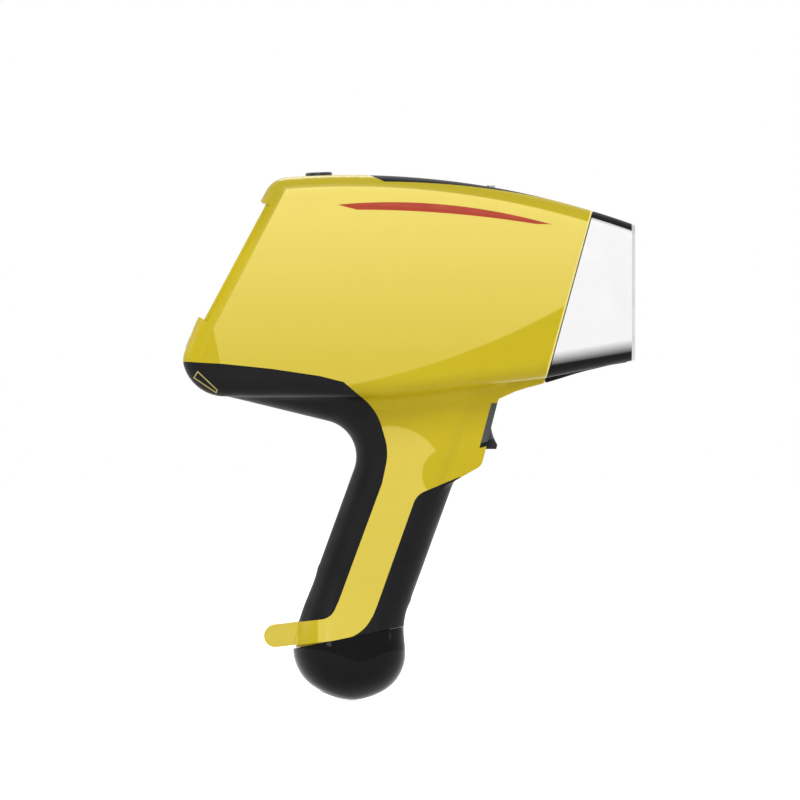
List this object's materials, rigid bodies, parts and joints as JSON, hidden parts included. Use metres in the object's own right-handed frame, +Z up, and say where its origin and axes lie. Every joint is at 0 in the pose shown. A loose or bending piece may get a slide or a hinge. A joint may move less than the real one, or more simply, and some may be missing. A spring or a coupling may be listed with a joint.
{
  "type": "handheld XRF analyzer",
  "caption": "Pistol-grip X-ray fluorescence analyzer with yellow housing, silver nose, black grip, rear touchscreen and slide-out battery.",
  "frame": {"origin": "centre of the nose's front measuring face, on the instrument's centre plane", "axes": "+X out of the nose along the measuring direction, +Y to the operator's left, +Z up"},
  "size_m": [0.2475, 0.082, 0.2904],
  "materials": {
    "yellow_shell": "satin moulded ABS, yellow",
    "black_grip": "soft-touch overmould",
    "red_stripe": "satin inlay",
    "dark_plastic": "fine texture",
    "silver_plate": "bead blasted",
    "silver_cheek": "silver paint",
    "black_rubber": "matte",
    "steel": "machined",
    "film": "clear amber film",
    "sink_metal": "dark anodised",
    "dark_glass": "gloss",
    "lcd": "gloss",
    "board": "solder resist",
    "key_rubber": "satin silicone",
    "button_black": "semi-gloss",
    "trigger_grey": "satin",
    "battery_shell": "satin",
    "gloss_black": "gloss",
    "contact_block": "matte",
    "cover_black": "satin",
    "beige_seal": "matte silicone",
    "aluminium": "machined",
    "tinned_can": "tinned",
    "brass": "machined",
    "tube_ceramic": "glazed",
    "chrome_can": "polished"
  },
  "bodies": {
    "instrument": {"right_housing": "yellow_shell", "left_housing": "yellow_shell", "back_grip": "black_grip", "front_grip": "black_grip", "accent_stripes": "red_stripe", "nose_core": "dark_plastic", "nose_plate": "silver_plate", "nose_right_cheek": "silver_cheek", "nose_left_cheek": "silver_cheek", "nose_gasket": "black_rubber", "nose_screws": "steel", "window_film": "film", "window_retainer": "dark_plastic", "heat_sink": "sink_metal", "heat_sink_pad": "black_rubber", "heat_sink_screws": "steel", "housing_screws": "steel", "display_bezel": "dark_plastic", "display_glass": "dark_glass", "display_gasket": "black_rubber", "lcd_module": "lcd", "display_board": "board", "key_board": "board", "power_switch": "board", "trigger_pin": "steel", "trigger_spring": "steel", "trigger_switch": "dark_plastic", "battery_contacts": "contact_block", "strap_lug": "yellow_shell", "port_seal": "beige_seal", "port_block": "dark_plastic", "chassis": "aluminium", "main_board": "board", "pulse_processor_board": "board", "preamp_board": "board", "high_voltage_supply": "tinned_can", "measuring_frame": "aluminium", "wheel_axle": "steel", "wheel_motor": "steel", "xray_tube": "tube_ceramic", "tube_shield": "brass", "tube_boot": "black_rubber", "collimator": "steel", "detector": "chrome_can", "detector_bracket": "aluminium"},
    "trigger": {"trigger": "trigger_grey"},
    "power_button": {"power_button": "button_black"},
    "key_left": {"key_left": "key_rubber"},
    "key_centre": {"key_centre": "key_rubber"},
    "key_right": {"key_right": "key_rubber"},
    "port_cover": {"port_cover": "cover_black"},
    "battery": {"battery_pack": "battery_shell", "battery_cap": "gloss_black"},
    "filter_wheel": {"filter_wheel": "steel", "filters": "brass"},
    "motor_pinion": {"motor_pinion": "brass"}
  },
  "joints": [
    {"name": "trigger_pull", "type": "hinge", "parent": "instrument", "child": "trigger", "pos_m": [-0.0845, 0, -0.0605], "axis": [0, 1, 0], "range_deg": [0, 8], "stiffness_Nm_per_rad": 0.7, "springref_deg": -4.01, "deforming": ["trigger_spring"]},
    {"name": "power_button_press", "type": "slide", "parent": "instrument", "child": "power_button", "axis": [0.0376, 0, -0.9993], "range_m": [0, 0.0008], "stiffness_N_per_m": 2500, "springref_m": -0.0004},
    {"name": "key_left_press", "type": "slide", "parent": "instrument", "child": "key_left", "axis": [0.9349, 0, -0.3548], "range_m": [0, 0.0006], "stiffness_N_per_m": 3000, "springref_m": -0.0003},
    {"name": "key_centre_press", "type": "slide", "parent": "instrument", "child": "key_centre", "axis": [0.9349, 0, -0.3548], "range_m": [0, 0.0006], "stiffness_N_per_m": 3000, "springref_m": -0.0003},
    {"name": "key_right_press", "type": "slide", "parent": "instrument", "child": "key_right", "axis": [0.9349, 0, -0.3548], "range_m": [0, 0.0006], "stiffness_N_per_m": 3000, "springref_m": -0.0003},
    {"name": "port_cover_hinge", "type": "hinge", "parent": "instrument", "child": "port_cover", "pos_m": [-0.22912, 0, -0.0553], "axis": [0, -1, 0], "range_deg": [0, 95]},
    {"name": "battery_slide", "type": "slide", "parent": "instrument", "child": "battery", "axis": [-0.342, 0, -0.9397], "range_m": [0, 0.125]},
    {"name": "filter_wheel_spin", "type": "hinge", "parent": "instrument", "child": "filter_wheel", "pos_m": [-0.02547, 0, 0.01986], "axis": [-0.9135, 0, 0.4067], "continuous": true},
    {"name": "motor_pinion_spin", "type": "hinge", "parent": "instrument", "child": "motor_pinion", "pos_m": [-0.02309, 0.01717, 0.02471], "axis": [-0.9135, 0, 0.4067], "continuous": true}
  ],
  "couplings": [
    {"joint": "motor_pinion_spin", "follows": "filter_wheel_spin", "ratio": -3.5}
  ]
}
